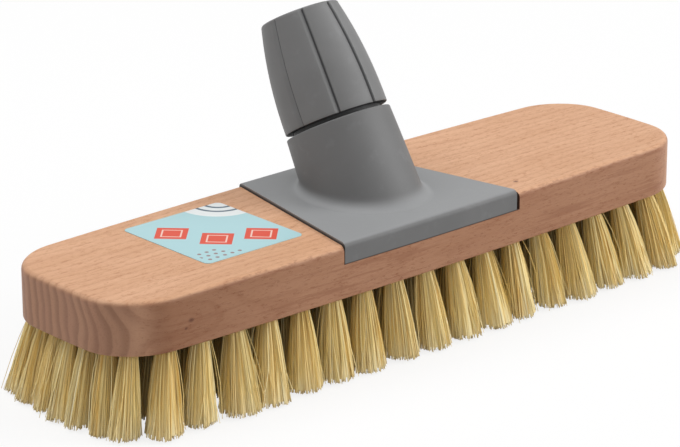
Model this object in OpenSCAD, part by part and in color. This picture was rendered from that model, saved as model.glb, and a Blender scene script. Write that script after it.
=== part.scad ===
// Scrub brush for a long handle: a beech block with rows of natural bristle
// tufts, a wedge-shaped holder plate with a tilted handle socket, a screwed
// clamp nut with a split ring inside it, and a square label.
// Millimetres. X runs along the block, Y from the front to the back, Z up.
// The origin lies on the floor, under the middle of the whole brush.

/* [Block] */
// Length of the wooden block
block_length = 300; // [270:1:340]
// Width of the block across its middle
block_width = 81; // [76:1:92]
// Height of the block
block_height = 21; // [18:0.5:28]
// How far the long sides draw in towards each end
side_bow = 3.5; // [0:0.5:5]
// How far the ends draw in towards each corner
end_bow = 1.5; // [0:0.5:3]
// Radius of the corners in plan
corner_radius = 23; // [18:1:28]
// Rounding of the upper edge
top_edge_radius = 1.6; // [0.6:0.2:2.6]
// Rounding of the lower edge
bottom_edge_radius = 0.8; // [0.4:0.2:1.6]

/* [Holder plate] */
// Width of the plate at the front face
plate_front_width = 91; // [84:1:100]
// Width of the plate at the back face
plate_back_width = 58; // [54:1:76]
// Thickness of the plate
plate_thickness = 8.3; // [7:0.1:10]
// How far the plate stands above the block
plate_proud = 1.3; // [0.4:0.1:2]
// Rounding of the plate's front and back upper edges
plate_edge_radius = 3; // [1:0.5:4]
// Gap beside the plate at its tight side
tight_side_gap = 0.3; // [0.1:0.1:0.6]
// Gap beside the plate at its open side
open_side_gap = 1.5; // [0.3:0.1:2]

/* [Handle socket] */
// Diameter of the handle that the socket takes
handle_diameter = 24; // [20:0.5:24.5]
// Gap around the handle in the socket
handle_clearance = 0.2; // [0.1:0.05:0.4]
// Lean of the socket towards the back
socket_tilt = 30; // [20:1:34]
// Diameter of the socket near the plate
socket_base_diameter = 44.8; // [44:0.2:48]
// Diameter of the socket's upper rim
socket_rim_diameter = 42.8; // [42:0.2:44]
// Length of the socket along its axis, from the plate's top
socket_length = 28.3; // [24:0.1:34]
// Rounding where the socket meets the plate
socket_fillet = 4; // [2:0.5:5]
// Wall left under the lowest edge of the handle's end
socket_floor = 2.2; // [1.6:0.1:3]
// Length of the neck above the socket, without its nose
neck_length = 27.7; // [24:0.1:32]
// Length of the plain land at the foot of the neck
land_length = 3; // [2:0.5:4]
// Length of the nose that carries the clamp ring
nose_length = 1.3; // [1:0.1:2]
// Step in from the thread's root to the nose
nose_step = 0.3; // [0.2:0.1:0.6]

/* [Screw thread] */
// Mean diameter of the thread on the neck
thread_diameter = 33.2; // [32.6:0.1:33.6]
// Height of the thread from root to crest
thread_height = 1.4; // [1:0.1:1.6]
// Rise of the thread in one turn
thread_pitch = 5; // [4:0.5:6]
// Gap between the two threads
thread_clearance = 0.5; // [0.4:0.05:0.6]

/* [Clamp nut] */
// Length of the nut
nut_length = 44; // [42:0.5:50]
// Diameter of the nut at its lower rim
nut_rim_diameter = 42.1; // [41.4:0.1:44]
// Diameter of the nut at its top
nut_top_diameter = 31.6; // [31:0.1:34]
// Rounding of the nut's upper edge
nut_edge_radius = 1.2; // [0.6:0.2:1.8]
// Gap between the nut and the socket's rim
nut_gap = 1.7; // [0.6:0.1:3]
// Number of grip panels round the nut
panel_count = 8; // [6:1:12]
// Width of the groove between two panels
groove_width = 0.8; // [0.5:0.1:1.4]
// Depth of the groove between two panels
groove_depth = 0.6; // [0.3:0.1:0.8]
// Turn of the panels about the nut's axis
panel_turn = 11.25; // [0:0.25:45]
// Length of the nut's plain mouth past the land
mouth_length = 2.7; // [2:0.1:4]
// Running gap between the nut and the parts that it turns on
running_gap = 0.1; // [0.05:0.05:0.15]

/* [Clamp ring] */
// Length of the ring's cone
ring_cone_length = 9.6; // [8:0.2:11]
// Diameter of the cone at its wide end
ring_wide_diameter = 30.8; // [30:0.1:31]
// Diameter of the cone at its narrow end
ring_narrow_diameter = 28.5; // [28:0.1:29]
// Width of the split in the ring
ring_split = 2; // [1:0.5:4]
// Diameter of the collar under the cone
collar_diameter = 33; // [32.6:0.1:33.2]
// Thickness of the collar
collar_thickness = 1; // [0.8:0.1:1.4]
// Gap between the ring and the nut's cone
ring_gap = 0.15; // [0.1:0.05:0.2]
// How much wider than the socket the open ring is, as a radius
ring_ease = 0.35; // [0.15:0.05:0.4]
// How much wider than the open ring the nut's top is, as a radius
top_ease = 0.35; // [0.15:0.05:0.4]
// Thickness of the snap edge that keeps the collar in the nut
snap_edge = 0.5; // [0.3:0.1:0.6]
// Gap between the snap edge and the nose
snap_clearance = 0.3; // [0.2:0.05:0.4]

/* [Screws] */
// Diameter of the screw shank
screw_diameter = 4; // [3.5:0.1:4.5]
// Diameter of the countersunk head
screw_head_diameter = 8; // [7:0.2:8.4]
// Plate left above the tips of the screws
screw_cover = 3.3; // [2.5:0.1:4.5]
// Distance of the front screws from the plate's front corners
front_screw_inset = 13; // [10:0.5:16]
// Distance of the back screws from the plate's back corners
back_screw_inset = 9; // [7:0.5:11]
// Gap around the screw shank
screw_clearance = 0.25; // [0.1:0.05:0.4]

/* [Bristles] */
// Length of the bristles below the block
bristle_length = 31.5; // [24:0.5:40]
// Distance between the tufts of a row
tuft_pitch = 15.8; // [14.5:0.1:18]
// Distance between the tufts across an end
end_tuft_pitch = 8.7; // [8.5:0.1:10]
// Diameter of a tuft where it leaves the block
tuft_diameter = 5; // [4.4:0.2:5.4]
// Distance from the block's side to the outer row
side_inset = 6.5; // [6:0.5:8]
// Distance from the block's end to the end row
end_inset = 8; // [7:0.5:10]
// How far the end row curves in towards the corners
end_row_curve = 4.5; // [3:0.5:6]
// Outward lean of the outer rows at their tips
side_lean = 5.5; // [2:0.5:7]
// Outward lean of the end rows at their tips
end_lean = 6; // [2:0.5:8]
// Half the spread of a tuft at its tips
tuft_spread = 4.3; // [3:0.1:4.6]
// Half the spread of an end tuft along the end
end_tuft_spread = 2.4; // [1.8:0.1:2.6]
// Half the width of a strand at the block
strand_base = 0.8; // [0.5:0.05:0.85]
// Half the width of a strand at its tip
strand_tip = 2.2; // [1:0.1:2.3]
// Half the width of an end strand at its tip
end_strand_tip = 1.3; // [0.7:0.1:1.3]
// Thickness of the slice of block that holds a row
root_slice = 3; // [2:0.5:4]
// Wood between a tuft and the edge of its slice
slice_margin = 1; // [0.8:0.1:1.4]
// Gap around a slice in the block
slice_clearance = 0.1; // [0.05:0.05:0.2]
// Depth of the flat cut across the tips
tip_cut = 0.5; // [0.3:0.1:0.8]

/* [Tuft wires] */
// Width of the flat wire that holds a tuft
wire_width = 4.2; // [3.6:0.1:4.4]
// Height of the flat wire
wire_height = 3; // [2:0.5:4]
// Thickness of the flat wire
wire_thickness = 0.5; // [0.4:0.1:0.7]
// Gap around the wire in the wood
wire_clearance = 0.05; // [0.05:0.05:0.1]

/* [Label] */
// Length of the label along the block
label_length = 47.5; // [40:0.5:56]
// Width of the label across the block
label_width = 50.5; // [44:0.5:56]
// Thickness of the label
label_thickness = 0.2; // [0.1:0.05:0.3]
// Corner radius of the label
label_corner = 5; // [2:0.5:8]
// Distance of the label's middle from the block's middle
label_x = 72; // [72:1:80]
// Distance of the label's middle behind the block's middle line
label_y = 5; // [0:0.5:5]

/* [Hidden] */

// Smoothness of the true round faces
$fn = 96;
// Small overlap that keeps joined and cut shapes clean
eps = 0.2;
half_length = block_length / 2;
half_width = block_width / 2;
block_z = bristle_length;
block_top = block_z + block_height;

// Plate and socket, with the socket's axis through the middle of the plate's top
plate_top = block_top + plate_proud;
plate_bottom = plate_top - plate_thickness;
bore_radius = handle_diameter / 2 + handle_clearance;
socket_radius = socket_base_diameter / 2;
rim_radius = socket_rim_diameter / 2;
rim_chamfer = 0.5;
// The socket stays straight until its whole outline has left the plate
straight_length = socket_radius * tan(socket_tilt) + 0.5;
// Axis distance at which the handle's end rests, clear of the plate's underside
bore_floor = (bore_radius * sin(socket_tilt) - plate_thickness + socket_floor) / cos(socket_tilt);

// Thread, land, nose and ring as distances along the socket's axis
thread_middle = thread_diameter / 2;
thread_swing = thread_height / 2;
// Step out from the nut's thread to the land
land_step = 0.1;
land_radius = thread_middle + thread_swing + thread_clearance + land_step;
land_top = socket_length + land_length;
neck_top = socket_length + neck_length;
nose_radius = thread_middle - thread_swing - nose_step;
nose_top = neck_top + nose_length;
collar_bottom = nose_top + running_gap;
collar_top = collar_bottom + collar_thickness;
ring_top = collar_top + ring_cone_length;
ring_bore = bore_radius + ring_ease;
collar_radius = collar_diameter / 2;

// Nut, whose hollow follows the neck, the nose and the ring
nut_bottom = socket_length + nut_gap;
nut_top = nut_bottom + nut_length;
nut_radius = nut_rim_diameter / 2;
nut_tip_radius = nut_top_diameter / 2;
mouth_top = land_top + mouth_length;
mouth_radius = land_radius + running_gap;
// Plain chamber between the nut's thread and its snap edge
chamber_below = 0.4;
chamber_above = 0.7;
chamber_bottom = neck_top - chamber_below;
chamber_top = neck_top + chamber_above;
chamber_radius = land_radius - land_step / 2;
snap_top = chamber_top + snap_edge;
snap_radius = nose_radius + snap_clearance;
// Steepness of the barrel shape of the nut
barrel_power = 2.1;
barrel_steps = 12;

// Screws between the outer and the inner rows
outer_row_y = half_width - side_inset;
inner_row_y = outer_row_y / 2;
screw_y = (outer_row_y + inner_row_y) / 2;
screw_radius = screw_diameter / 2;
head_height = (screw_head_diameter - screw_diameter) / 2;
screw_length = plate_top - screw_cover - block_z;
screw_tip = 2.5;
screw_tip_radius = 0.4;
// Gaps at the side and at the tip of the screw in the plate
pilot_gap = 0.05;
pilot_depth = 0.5;
pilot_top = block_z + screw_length + pilot_depth;
// Cross slot in the screw's head
slot_width = 1;
slot_depth = 1.6;
slot_share = 0.55;
front_screw_x = plate_front_width / 2 - front_screw_inset;
back_screw_x = plate_back_width / 2 - back_screw_inset;
screw_places = [
    [-front_screw_x, -screw_y], [front_screw_x, -screw_y],
    [-back_screw_x, screw_y], [back_screw_x, screw_y]
];

// Drawn-in plan of the block: straight lines become shallow arcs
function bow(p) = [
    p.x * (1 - end_bow / half_length * pow(p.y / half_width, 2)),
    p.y * (1 - side_bow / half_width * pow(p.x / half_length, 2))
];
corner_steps = 8;
side_steps = 12;
end_steps = 4;
function corner(x, y, r, start) = [
    for (i = [0 : corner_steps])
        [x, y] + r * [cos(start + 90 * i / corner_steps), sin(start + 90 * i / corner_steps)]
];
function between(a, b, steps) = [for (i = [1 : steps - 1]) a + (b - a) * i / steps];
function block_plan(inset) =
    let (
        r = corner_radius - inset,
        x = half_length - corner_radius,
        y = half_width - corner_radius
    )
    [for (p = concat(
        corner(x, y, r, 0), between([x, y + r], [-x, y + r], side_steps),
        corner(-x, y, r, 90), between([-x - r, y], [-x - r, -y], end_steps),
        corner(-x, -y, r, 180), between([-x, -y - r], [x, -y - r], side_steps),
        corner(x, -y, r, 270), between([x + r, -y], [x + r, y], end_steps)
    )) bow(p)];
function ring_at(outline, z) = [for (p = outline) [p.x, p.y, z]];

// Closed solid through a stack of outlines with the same number of points
module loft(rings) {
    n = len(rings[0]);
    last = len(rings) - 1;
    polyhedron(
        points = [for (r = rings) each r],
        faces = concat(
            [[for (i = [0 : n - 1]) i]],
            [for (k = [0 : last - 1], i = [0 : n - 1]) [k * n + i, (k + 1) * n + i, (k + 1) * n + (i + 1) % n]],
            [for (k = [0 : last - 1], i = [0 : n - 1]) [k * n + i, (k + 1) * n + (i + 1) % n, k * n + (i + 1) % n]],
            [[for (i = [n - 1 : -1 : 0]) last * n + i]]
        )
    );
}

// Tuft places of the rows, of the staggered rows and of the ends
// Wood between the last end tuft and the outer row
corner_gap = 2;
row_half_count = floor((half_length - corner_radius) / tuft_pitch);
end_half_count = floor((outer_row_y - tuft_diameter - corner_gap) / end_tuft_pitch);
end_x = half_length - end_inset;
end_reach = end_half_count * end_tuft_pitch;
function row_tufts(y) = [for (k = [-row_half_count : row_half_count]) bow([k * tuft_pitch, y])];
function staggered_tufts(y) = [
    for (k = [-row_half_count : row_half_count - 1]) bow([(k + 0.5) * tuft_pitch, y])
];
function end_tufts(side) = [
    for (k = [-end_half_count : end_half_count])
        let (y = k * end_tuft_pitch)
        [side * (end_x - end_row_curve * pow(y / end_reach, 2)), y]
];
front_outer = row_tufts(-outer_row_y);
front_inner = staggered_tufts(-inner_row_y);
middle = row_tufts(0);
back_inner = staggered_tufts(inner_row_y);
back_outer = row_tufts(outer_row_y);
left_end = end_tufts(-1);
right_end = end_tufts(1);
// Half the spread along X and along Y, then the strand's half width at the tip
row_fan = [tuft_spread, tuft_spread, strand_tip];
end_fan = [tuft_spread, end_tuft_spread, end_strand_tip];

// Strands of a tuft: one in its middle and four round it, fanned out at the tips
strand_sides = 3;
outer_strands = 4;
// Room left between the outer strands and the tuft's edge
strand_room = 0.2;
strand_circle = tuft_diameter / 2 - strand_base - strand_room;
// Turn of a tuft, mirrored from the left half to the right half
turn_along = 37;
turn_across = 23;
function tuft_turn(p) =
    let (turn = turn_along * round(abs(p.x) / tuft_pitch * 2) + turn_across * round(p.y / tuft_pitch * 2))
    p.x > 0 ? 180 - turn : turn;
function headings(p) = [for (i = [0 : outer_strands - 1]) tuft_turn(p) + 360 / outer_strands * i];
function tip_of(p) = [p.x * (1 + end_lean / end_x), p.y * (1 + side_lean / outer_row_y)];
function round_step(a) = [cos(a), sin(a)];
// Each strand is its foot at the block, its tip on the floor, its heading and its tip's half width
function strands(p, spread) = concat(
    [[p, tip_of(p), tuft_turn(p), spread.z]],
    [for (a = headings(p)) [
        p + strand_circle * round_step(a),
        tip_of(p) + [spread.x * cos(a), spread.y * sin(a)],
        a,
        spread.z
    ]]
);
function strand_ring(s, z) =
    let (
        share = (block_z - z) / block_z,
        middle = s[0] + (s[1] - s[0]) * share,
        size = strand_base + (s[3] - strand_base) * share
    )
    [for (i = [0 : strand_sides - 1])
        let (v = middle + size * round_step(s[2] + 360 / strand_sides * i))
        [v.x, v.y, z]
    ];

// Plan of the slice of block under a run of tufts
slice_half = tuft_diameter / 2 + slice_margin;
function slice_plan(tufts, across, along, grow) =
    let (
        side = across * (slice_half + grow),
        reach = along * (slice_half + grow),
        last = len(tufts) - 1,
        run = concat([tufts[0] - reach], tufts, [tufts[last] + reach])
    )
    concat(
        [for (p = run) p - side],
        [for (i = [len(run) - 1 : -1 : 0]) run[i] + side]
    );
function row_slice(tufts, grow = 0) = slice_plan(tufts, [0, 1], [1, 0], grow);
function end_slice(tufts, grow = 0) = slice_plan(tufts, [1, 0], [0, 1], grow);

// Barrel outline of the nut, as radius and distance along the axis
function barrel_radius(share) = nut_radius - (nut_radius - nut_tip_radius) * pow(share, barrel_power);
edge_share = 1 - nut_edge_radius / nut_length;
nut_side = [
    for (i = [0 : barrel_steps])
        let (share = edge_share * i / barrel_steps)
        [barrel_radius(share), nut_bottom + nut_length * share]
];
nut_edge = [
    for (a = [30 : 30 : 90])
        [barrel_radius(edge_share) - nut_edge_radius * (1 - cos(a)), nut_top - nut_edge_radius * (1 - sin(a))]
];
nut_outline = concat(nut_side, nut_edge);

// The frame's shift puts the origin under the middle of the whole brush
all_strands = concat(
    [for (row = [front_outer, back_outer], p = row) each strands(p, row_fan)],
    [for (row = [left_end, right_end], p = row) each strands(p, end_fan)]
);
tip_y = [for (s = all_strands) each [for (v = strand_ring(s, 0)) v.y]];
nut_y = [for (p = nut_outline) p[1] * sin(socket_tilt) + p[0] * cos(socket_tilt)];
shift_y = -(min(tip_y) + max(concat(tip_y, nut_y))) / 2;
echo(shift_y = shift_y, bore_floor = bore_floor, nose_top = nose_top, plate_top = plate_top);

module in_frame() {
    translate([0, shift_y, 0])
        children();
}

// Places a shape on the socket's axis, from the middle of the plate's top
module on_axis() {
    in_frame()
        translate([0, 0, plate_top])
            rotate([-socket_tilt, 0, 0])
                children();
}

module axis_rod(from, to, r) {
    translate([0, 0, from])
        cylinder(h = to - from, r = r);
}

// Wedge-shaped plan of the plate, grown by a gap on each side
module wedge(left_gap, right_gap) {
    // The wedge runs past both faces of the block by this much
    overrun = 4;
    spread = (plate_front_width - plate_back_width) / 2 * overrun / block_width;
    front = plate_front_width / 2 + spread;
    back = plate_back_width / 2 - spread;
    y = half_width + overrun;
    polygon([[-front - left_gap, -y], [front + right_gap, -y], [back + right_gap, y], [-back - left_gap, y]]);
}

module slice_pocket(outline) {
    translate([0, 0, block_z - eps])
        linear_extrude(root_slice + eps)
            polygon(outline);
}

module wire(p, gap, height) {
    translate([p.x, p.y, block_z + root_slice + height / 2])
        cube([wire_width + 2 * gap, wire_thickness + 2 * gap, height], center = true);
}

module wire_pockets(tufts) {
    for (p = tufts)
        translate([0, 0, -eps])
            wire(p, wire_clearance, wire_height + wire_clearance + eps);
}

module screw_hole(p) {
    translate([p.x, p.y, block_z]) {
        cylinder(h = block_height, r = screw_radius + screw_clearance);
        translate([0, 0, -eps])
            cylinder(
                h = head_height + eps + screw_clearance,
                r1 = screw_head_diameter / 2 + eps + screw_clearance,
                r2 = screw_radius
            );
    }
}

module wood_block() {
    lower = [for (a = [90, 45, 0]) ring_at(
        block_plan(bottom_edge_radius * (1 - cos(a))),
        block_z + bottom_edge_radius * (1 - sin(a))
    )];
    upper = [for (a = [0, 30, 60, 90]) ring_at(
        block_plan(top_edge_radius * (1 - cos(a))),
        block_top - top_edge_radius * (1 - sin(a))
    )];
    color("burlywood")
        in_frame()
            difference() {
                loft(concat(lower, upper));
                translate([0, 0, plate_bottom])
                    linear_extrude(plate_thickness + eps)
                        wedge(tight_side_gap, open_side_gap);
                for (row = [front_outer, front_inner, middle, back_inner, back_outer]) {
                    slice_pocket(row_slice(row, slice_clearance));
                    wire_pockets(row);
                }
                for (row = [left_end, right_end]) {
                    slice_pocket(end_slice(row, slice_clearance));
                    wire_pockets(row);
                }
                for (p = screw_places)
                    screw_hole(p);
            }
}

module label() {
    color("powderblue")
        in_frame()
            translate([-label_x, label_y, block_top])
                linear_extrude(label_thickness) {
                    square([label_length, label_width - 2 * label_corner], center = true);
                    square([label_length - 2 * label_corner, label_width], center = true);
                    for (sx = [-1, 1], sy = [-1, 1])
                        translate([sx * (label_length / 2 - label_corner), sy * (label_width / 2 - label_corner)])
                            circle(label_corner);
                }
}

// Plate with its rounded front and back edges, cut to the wedge
module plate() {
    y = half_width - plate_edge_radius;
    intersection() {
        translate([-half_length, 0, plate_bottom])
            rotate([90, 0, 90])
                linear_extrude(block_length) {
                    translate([-half_width, 0])
                        square([block_width, plate_thickness - plate_edge_radius]);
                    translate([-y, 0])
                        square([2 * y, plate_thickness]);
                    for (side = [-1, 1])
                        translate([side * y, plate_thickness - plate_edge_radius])
                            circle(plate_edge_radius);
                }
        translate([0, 0, plate_bottom - eps])
            linear_extrude(plate_thickness + 2 * eps)
                wedge(0, 0);
        translate([0, 0, plate_bottom - eps])
            linear_extrude(plate_thickness + 2 * eps)
                polygon(block_plan(0));
    }
}

// Hollow curve round the foot of the socket, as level slices of the leaning tube
module foot_fillet() {
    steps = 5;
    sides = 48;
    // How far the curve's top edge is sunk into the tube
    buried = 0.8;
    tucked = 0.4;
    slope = tan(socket_tilt);
    function foot_ring(height, grow) = [
        for (i = [0 : sides - 1])
            let (a = 360 * (i + 0.5) / sides)
            [
                (socket_radius + grow) * cos(a),
                (socket_radius / cos(socket_tilt) + grow) * sin(a) + height * slope,
                plate_top + height
            ]
    ];
    rings = concat(
        [for (k = [0 : steps - 1])
            let (a = 90 * k / steps)
            foot_ring(socket_fillet * (1 - cos(a)), socket_fillet * (1 - sin(a)))
        ],
        [foot_ring(socket_fillet + buried, -tucked)]
    );
    loft(rings);
}

// Round knuckle thread as a closed rod, with its crest on a right-hand helix
module threaded_rod(from, to, gap) {
    sides = 24;
    steps_per_turn = 6;
    rings = ceil((to - from) / thread_pitch * steps_per_turn);
    loft([for (k = [0 : rings])
        let (s = from + (to - from) * k / rings)
        [for (i = [0 : sides - 1])
            let (
                a = 360 * i / sides,
                r = thread_middle + gap + thread_swing * cos(360 * s / thread_pitch - a)
            )
            [r * cos(a), r * sin(a), s]
        ]
    ]);
}

// Leaning tube of the socket, cut flat at the plate's underside
module socket_tube() {
    buried_end = -2 * socket_radius;
    intersection() {
        on_axis()
            rotate_extrude()
                polygon([
                    [0, buried_end], [socket_radius, buried_end],
                    [socket_radius, straight_length],
                    [rim_radius, socket_length - rim_chamfer],
                    [rim_radius - rim_chamfer, socket_length],
                    [land_radius, socket_length],
                    [land_radius, land_top],
                    [0, land_top]
                ]);
        in_frame()
            translate([-half_width, -half_width, plate_bottom])
                cube([block_width, 2 * block_width, 4 * socket_length]);
    }
}

// The plate and the socket are one moulding, told apart along the tube's outline
module holder_plate() {
    color("dimgray")
        difference() {
            in_frame()
                plate();
            on_axis()
                axis_rod(-2 * socket_radius, straight_length, socket_radius);
            in_frame()
                for (p = screw_places)
                    translate([p.x, p.y, plate_bottom - eps])
                        cylinder(h = pilot_top - plate_bottom + eps, r = screw_radius + pilot_gap);
        }
}

module handle_socket() {
    color("dimgray")
        difference() {
            union() {
                socket_tube();
                in_frame()
                    foot_fillet();
                on_axis() {
                    threaded_rod(land_top - eps, neck_top, 0);
                    axis_rod(land_top, nose_top, nose_radius);
                }
            }
            on_axis()
                axis_rod(bore_floor, nose_top + 1, bore_radius);
        }
}

module holder_screws() {
    slot = [screw_head_diameter * slot_share, slot_width, slot_depth];
    color("silver")
        in_frame()
            for (p = screw_places)
                translate([p.x, p.y, block_z])
                    difference() {
                        rotate_extrude()
                            polygon([
                                [0, 0], [screw_head_diameter / 2, 0], [screw_radius, head_height],
                                [screw_radius, screw_length - screw_tip], [screw_tip_radius, screw_length], [0, screw_length]
                            ]);
                        for (turn = [0, 90])
                            rotate([0, 0, turn])
                                translate([-slot.x / 2, -slot.y / 2, -eps])
                                    cube([slot.x, slot.y, slot.z + eps]);
                    }
}

// Split ring: a collar that snaps into the nut and a cone that grips the handle
module clamp_ring() {
    color("gray")
        on_axis()
            difference() {
                rotate_extrude()
                    polygon([
                        [ring_bore, collar_bottom], [collar_radius, collar_bottom],
                        [collar_radius, collar_top], [ring_wide_diameter / 2, collar_top],
                        [ring_narrow_diameter / 2, ring_top], [ring_bore, ring_top]
                    ]);
                translate([-ring_split / 2, 0, collar_bottom - eps])
                    cube([ring_split, 2 * collar_radius, ring_top - collar_bottom + 2 * eps]);
            }
}

module panel_grooves() {
    difference() {
        for (i = [0 : panel_count - 1])
            rotate([0, 0, 360 / panel_count * i + panel_turn - 90])
                translate([nut_tip_radius / 2, -groove_width / 2, nut_bottom - eps])
                    cube([nut_radius, groove_width, nut_length + 2 * eps]);
        rotate_extrude()
            polygon(concat(
                [[0, nut_bottom - 1], [nut_radius - groove_depth, nut_bottom - 1]],
                [for (p = nut_outline) [p[0] - groove_depth, p[1]]],
                [[nut_tip_radius - nut_edge_radius - groove_depth, nut_top + 1], [0, nut_top + 1]]
            ));
    }
}

module clamp_nut() {
    top_bore = ring_bore + top_ease;
    cone_wide = ring_wide_diameter / 2 + ring_gap;
    cone_narrow = ring_narrow_diameter / 2 + ring_gap;
    color("dimgray")
        on_axis()
            difference() {
                rotate_extrude()
                    polygon(concat([[0, nut_bottom]], nut_outline, [[0, nut_top]]));
                panel_grooves();
                axis_rod(nut_bottom - eps, mouth_top, mouth_radius);
                threaded_rod(mouth_top - eps, chamber_bottom + eps, thread_clearance);
                axis_rod(chamber_bottom, chamber_top, chamber_radius);
                rotate_extrude()
                    polygon([
                        [0, chamber_top - eps], [snap_radius, chamber_top - eps],
                        [snap_radius, snap_top], [collar_radius + ring_gap, snap_top],
                        [collar_radius + ring_gap, collar_top + ring_gap],
                        [cone_wide, collar_top + ring_gap], [cone_narrow, ring_top + ring_gap],
                        [top_bore, ring_top + ring_gap], [top_bore, nut_top + eps], [0, nut_top + eps]
                    ]);
            }
}

// A run of tufts rooted in its slice, cut flat on the floor
module tufts(places, outline, spread) {
    reach = 2 * block_length;
    color("khaki")
        in_frame()
            intersection() {
                union() {
                    translate([0, 0, block_z])
                        linear_extrude(root_slice)
                            polygon(outline);
                    for (p = places, s = strands(p, spread))
                        loft([strand_ring(s, -tip_cut), strand_ring(s, block_z + root_slice / 2)]);
                }
                translate([-reach / 2, -reach / 2, 0])
                    cube([reach, reach, block_top]);
            }
}

module wires(places) {
    color("lightgray")
        in_frame()
            for (p = places)
                wire(p, 0, wire_height);
}

wood_block();
label();
holder_plate();
handle_socket();
holder_screws();
clamp_ring();
clamp_nut();
tufts(front_outer, row_slice(front_outer), row_fan);  // bristles_front_outer
tufts(front_inner, row_slice(front_inner), row_fan);  // bristles_front_inner
tufts(middle, row_slice(middle), row_fan);  // bristles_middle
tufts(back_inner, row_slice(back_inner), row_fan);  // bristles_back_inner
tufts(back_outer, row_slice(back_outer), row_fan);  // bristles_back_outer
tufts(left_end, end_slice(left_end), end_fan);  // bristles_left_end
tufts(right_end, end_slice(right_end), end_fan);  // bristles_right_end
wires(front_outer);  // wires_front_outer
wires(front_inner);  // wires_front_inner
wires(middle);  // wires_middle
wires(back_inner);  // wires_back_inner
wires(back_outer);  // wires_back_outer
wires(left_end);  // wires_left_end
wires(right_end);  // wires_right_end
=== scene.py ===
import math
import random
import bpy
import numpy as np
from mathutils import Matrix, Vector


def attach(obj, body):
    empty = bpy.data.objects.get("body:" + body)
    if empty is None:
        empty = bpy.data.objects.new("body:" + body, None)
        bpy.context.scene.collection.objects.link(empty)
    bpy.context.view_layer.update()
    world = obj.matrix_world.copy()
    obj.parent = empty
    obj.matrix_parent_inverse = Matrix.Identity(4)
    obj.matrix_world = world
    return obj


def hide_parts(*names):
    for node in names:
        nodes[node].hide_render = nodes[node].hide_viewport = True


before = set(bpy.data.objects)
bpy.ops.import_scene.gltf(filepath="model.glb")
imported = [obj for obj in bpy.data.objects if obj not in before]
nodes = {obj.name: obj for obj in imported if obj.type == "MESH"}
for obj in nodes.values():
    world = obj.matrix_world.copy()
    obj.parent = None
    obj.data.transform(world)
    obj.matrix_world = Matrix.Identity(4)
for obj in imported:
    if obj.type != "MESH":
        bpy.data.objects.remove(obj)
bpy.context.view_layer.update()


# Camera, floor and light
# The brush is looked down on from its front left with a long lens. It stands on a plain pale
# floor under four soft lamps: two on the right, one above and behind, and a faint one on the left.
FLOOR_TO_BLOCK = 0.0315
packed_block = nodes["wood_block"]
block_y = [(packed_block.matrix_world @ vertex.co).y for vertex in packed_block.data.vertices]
AXIS_Y = (min(block_y) + max(block_y)) / 2
view_azimuth = math.radians(-42.37)
view_elevation = math.radians(20.06)
view_distance = 1.2753
aim = Vector((0, AXIS_Y, FLOOR_TO_BLOCK))
towards_camera = Vector((
    math.sin(view_azimuth) * math.cos(view_elevation),
    -math.cos(view_azimuth) * math.cos(view_elevation),
    math.sin(view_elevation),
))
bpy.ops.object.camera_add(location=aim + view_distance * towards_camera)
camera = bpy.context.object
camera.rotation_euler = towards_camera.to_track_quat("Z", "Y").to_euler()
camera.data.lens = 171.41
camera.data.sensor_width = 36
camera.data.shift_x = -0.0330
camera.data.shift_y = 0.0304
camera.data.clip_end = 20
bpy.context.scene.camera = camera
bpy.context.scene.view_settings.view_transform = "Standard"


def paint(red, green, blue):
    """A colour as it is seen, 0 to 255 in each channel, as the shader's own numbers."""
    seen = [channel / 255 for channel in (red, green, blue)]
    return tuple(c / 12.92 if c <= 0.04045 else ((c + 0.055) / 1.055) ** 2.4 for c in seen) + (1,)


class Reading:
    """A shader value or colour that can stand in an ordinary sum."""

    def __init__(self, finish, socket):
        self.finish = finish
        self.socket = socket

    def maths(self, operation, *values):
        return self.finish.node("ShaderNodeMath", {"operation": operation}, values)

    def __add__(self, other):
        return self.maths("ADD", self, other)

    def __sub__(self, other):
        return self.maths("SUBTRACT", self, other)

    def __rsub__(self, other):
        return self.maths("SUBTRACT", other, self)

    def __mul__(self, other):
        return self.maths("MULTIPLY", self, other)

    def __truediv__(self, other):
        return self.maths("DIVIDE", self, other)

    def __pow__(self, other):
        return self.maths("POWER", self, other)

    def __rpow__(self, other):
        return self.maths("POWER", other, self)

    def __neg__(self):
        return self.maths("MULTIPLY", self, -1)

    def __abs__(self):
        return self.maths("ABSOLUTE", self)

    def __gt__(self, other):
        return self.maths("GREATER_THAN", self, other)

    __radd__ = __add__
    __rmul__ = __mul__

    def part(self):
        return self.maths("FRACT", self)

    def most(self, other):
        return self.maths("MAXIMUM", self, other)

    def ease(self, low, high):
        """0 below low, 1 above high, and a soft step between them."""
        settings = {"interpolation_type": "SMOOTHSTEP", "clamp": True}
        return self.finish.node("ShaderNodeMapRange", settings, [self, low, high, 0.0, 1.0])


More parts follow.
